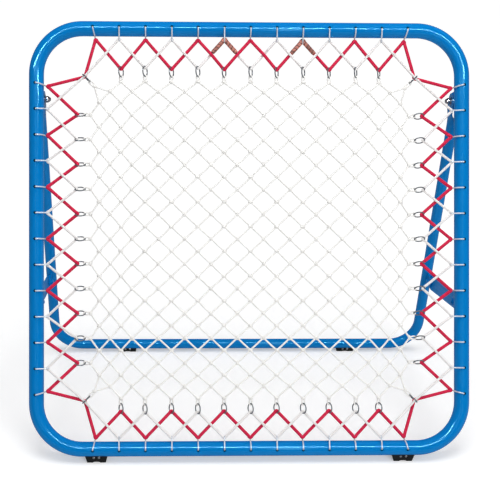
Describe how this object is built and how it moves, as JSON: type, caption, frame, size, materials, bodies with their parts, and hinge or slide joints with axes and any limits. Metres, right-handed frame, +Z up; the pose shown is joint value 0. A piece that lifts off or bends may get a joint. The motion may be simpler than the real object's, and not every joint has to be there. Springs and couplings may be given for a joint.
{
  "type": "tchoukball rebounder",
  "caption": "Square tube hoop leaning back, a knotted net slung in it on two elastic cords, held up by a hinged U-shaped rear leg and two flat folding side stays.",
  "frame": {"origin": "on the floor, under the middle of the hoop", "axes": "+Z up, -Y towards the player in front of the net, +X to the right seen from the front"},
  "size_m": [1, 0.5099, 0.8658],
  "materials": {
    "blue_paint": "gloss powder coat",
    "plate_paint": "satin powder coat",
    "zinc": "bright zinc plate",
    "chrome": "polished",
    "red_cord": "braided cover over rubber",
    "white_cord": "braided cover over rubber",
    "brown_tape": "wound cloth tape",
    "net_twine": "twisted twine",
    "black_rubber": "moulded"
  },
  "bodies": {
    "frame": {"main_frame_tube": "blue_paint", "hinge_lug_left": "plate_paint", "hinge_lug_right": "plate_paint", "stay_lug_left": "plate_paint", "stay_lug_right": "plate_paint", "hinge_bolt_left": "zinc", "hinge_bolt_right": "zinc", "hinge_washer_left": "zinc", "hinge_washer_right": "zinc", "hinge_dome_nut_left": "chrome", "hinge_dome_nut_right": "chrome", "stay_pivot_bolt_left": "zinc", "stay_pivot_bolt_right": "zinc", "stay_pivot_nut_left": "zinc", "stay_pivot_nut_right": "zinc", "net_with_rings": "net_twine", "red_cord_with_hooks": "red_cord", "white_cord_with_hooks": "white_cord", "red_cord_tape": "brown_tape", "white_cord_tape": "brown_tape", "front_foot_left": "black_rubber", "front_foot_right": "black_rubber", "front_foot_left_rivet_1": "zinc", "front_foot_left_rivet_2": "zinc", "front_foot_right_rivet_1": "zinc", "front_foot_right_rivet_2": "zinc"},
    "rear_leg": {"rear_leg_tube": "blue_paint", "leg_stay_lug_left": "plate_paint", "leg_stay_lug_right": "plate_paint", "stay_catch_bolt_left": "zinc", "stay_catch_bolt_right": "zinc", "stay_catch_nut_left": "zinc", "stay_catch_nut_right": "zinc", "rear_foot_left": "black_rubber", "rear_foot_right": "black_rubber", "rear_foot_left_rivet_1": "zinc", "rear_foot_left_rivet_2": "zinc", "rear_foot_right_rivet_1": "zinc", "rear_foot_right_rivet_2": "zinc"},
    "stay_left": {"stay_bar_left": "plate_paint"},
    "stay_right": {"stay_bar_right": "plate_paint"}
  },
  "joints": [
    {"name": "rear_leg_fold", "type": "hinge", "parent": "frame", "child": "rear_leg", "pos_m": [0, 0.1862, 0.70032], "axis": [-1, 0, 0], "range_deg": [0, 22]},
    {"name": "stay_left_swing", "type": "hinge", "parent": "frame", "child": "stay_left", "pos_m": [-0.4844, -0.03917, 0.29506], "axis": [-1, 0, 0], "range_deg": [0, 101.9]},
    {"name": "stay_right_swing", "type": "hinge", "parent": "frame", "child": "stay_right", "pos_m": [0.4844, -0.03917, 0.29506], "axis": [-1, 0, 0], "range_deg": [0, 101.9]}
  ],
  "couplings": [
    {"joint": "stay_left_swing", "follows": "rear_leg_fold", "ratio": 4.63},
    {"joint": "stay_right_swing", "follows": "rear_leg_fold", "ratio": 4.63}
  ]
}
